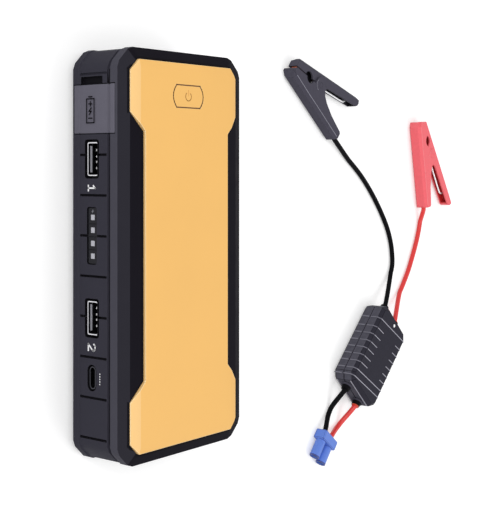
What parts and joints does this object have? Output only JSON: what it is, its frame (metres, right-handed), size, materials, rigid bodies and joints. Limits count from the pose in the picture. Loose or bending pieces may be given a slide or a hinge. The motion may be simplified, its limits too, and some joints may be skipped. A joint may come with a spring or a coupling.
{
  "type": "jump starter pack",
  "caption": "Portable car jump starter in a grey rubber bumper with an orange front plate, with side ports under a swinging flap and a clamp lead lying beside it.",
  "frame": {"origin": "centre of the pack's back face, at the bottom centre of its box, on the surface it lies on", "axes": "+Z out of the orange front plate, +Y towards the end with the torch and the power button, -X out of the side with the ports; the unplugged lead lies on the +X side"},
  "size_m": [0.3069, 0.2084, 0.0316],
  "materials": {
    "bumper_rubber": "satin, finely grained",
    "cover_rubber": "satin",
    "shell_plastic": "fine texture",
    "plate_plastic": "fine texture, soft sheen",
    "port_metal": "bright",
    "port_plastic": "smooth",
    "window_plastic": "smoked, glossy",
    "lens_plastic": "clear",
    "reflector_metal": "bright",
    "connector_blue": "satin",
    "contact_brass": "bright",
    "board_green": "solder mask",
    "cell_wrap": "foil wrap",
    "cell_foam": "foam",
    "fastener_steel": "bright",
    "jaw_copper": "copper plated",
    "black_clamp_plastic": "satin",
    "red_clamp_plastic": "satin",
    "black_cord_rubber": "smooth",
    "red_cord_rubber": "smooth"
  },
  "bodies": {
    "pack": {"back_shell": "shell_plastic", "front_shell": "shell_plastic", "bumper_frame": "bumper_rubber", "front_plate": "plate_plastic", "power_switch": "port_plastic", "switch_board": "board_green", "jump_socket": "connector_blue", "socket_contact_positive": "contact_brass", "socket_contact_negative": "contact_brass", "usb_a_shell_upper": "port_metal", "usb_a_shell_lower": "port_metal", "usb_a_tongue_upper": "port_plastic", "usb_a_tongue_lower": "port_plastic", "usb_c_shell": "port_metal", "usb_c_tongue": "port_plastic", "indicator_window": "window_plastic", "main_board": "board_green", "battery_cell_1": "cell_wrap", "battery_cell_2": "cell_wrap", "battery_cell_3": "cell_wrap", "cell_pad": "cell_foam", "positive_wire": "red_cord_rubber", "negative_wire": "black_cord_rubber", "torch_lens": "lens_plastic", "torch_reflector": "reflector_metal", "torch_light": "board_green", "shell_screw_1": "fastener_steel", "shell_screw_2": "fastener_steel", "shell_screw_3": "fastener_steel", "shell_screw_4": "fastener_steel", "module_top_shell": "black_clamp_plastic", "module_bottom_shell": "black_clamp_plastic", "module_board": "board_green", "module_light": "lens_plastic", "black_cord": "black_cord_rubber", "red_cord": "red_cord_rubber", "black_tail": "black_cord_rubber", "red_tail": "red_cord_rubber", "black_cord_boot": "black_cord_rubber", "red_cord_boot": "black_cord_rubber", "black_tail_boot": "black_cord_rubber", "red_tail_boot": "black_cord_rubber", "plug_housing": "connector_blue", "plug_contact_positive": "contact_brass", "plug_contact_negative": "contact_brass", "black_clamp_base": "black_clamp_plastic", "black_clamp_jaw_base": "jaw_copper", "black_clamp_pin": "fastener_steel", "black_clamp_spring": "fastener_steel", "red_clamp_base": "red_clamp_plastic", "red_clamp_jaw_base": "jaw_copper", "red_clamp_pin": "fastener_steel", "red_clamp_spring": "fastener_steel"},
    "power_button": {"power_button": "plate_plastic"},
    "port_cover": {"port_cover": "cover_rubber"},
    "black_clamp_lever": {"black_clamp_lever": "black_clamp_plastic", "black_clamp_jaw_lever": "jaw_copper"},
    "red_clamp_lever": {"red_clamp_lever": "red_clamp_plastic", "red_clamp_jaw_lever": "jaw_copper"}
  },
  "joints": [
    {"name": "power_press", "type": "slide", "parent": "pack", "child": "power_button", "axis": [0, 0, -1], "range_m": [0, 0.0006], "stiffness_N_per_m": 300, "springref_m": -0.0015},
    {"name": "port_cover_swing", "type": "hinge", "parent": "pack", "child": "port_cover", "pos_m": [-0.0374, 0.04806, 0.0154], "axis": [0, 0, 1], "range_deg": [0, 120]},
    {"name": "black_clamp_squeeze", "type": "hinge", "parent": "pack", "child": "black_clamp_lever", "pos_m": [0.12958, 0.07658, 0.0038], "axis": [0, 0, -1], "range_deg": [0, 28], "stiffness_Nm_per_rad": 0.3, "springref_deg": -20.05, "deforming": ["black_clamp_spring"]},
    {"name": "red_clamp_squeeze", "type": "hinge", "parent": "pack", "child": "red_clamp_lever", "pos_m": [0.24447, 0.04159, 0.0038], "axis": [0, 0, -1], "range_deg": [0, 28], "stiffness_Nm_per_rad": 0.3, "springref_deg": -20.05, "deforming": ["red_clamp_spring"]}
  ]
}
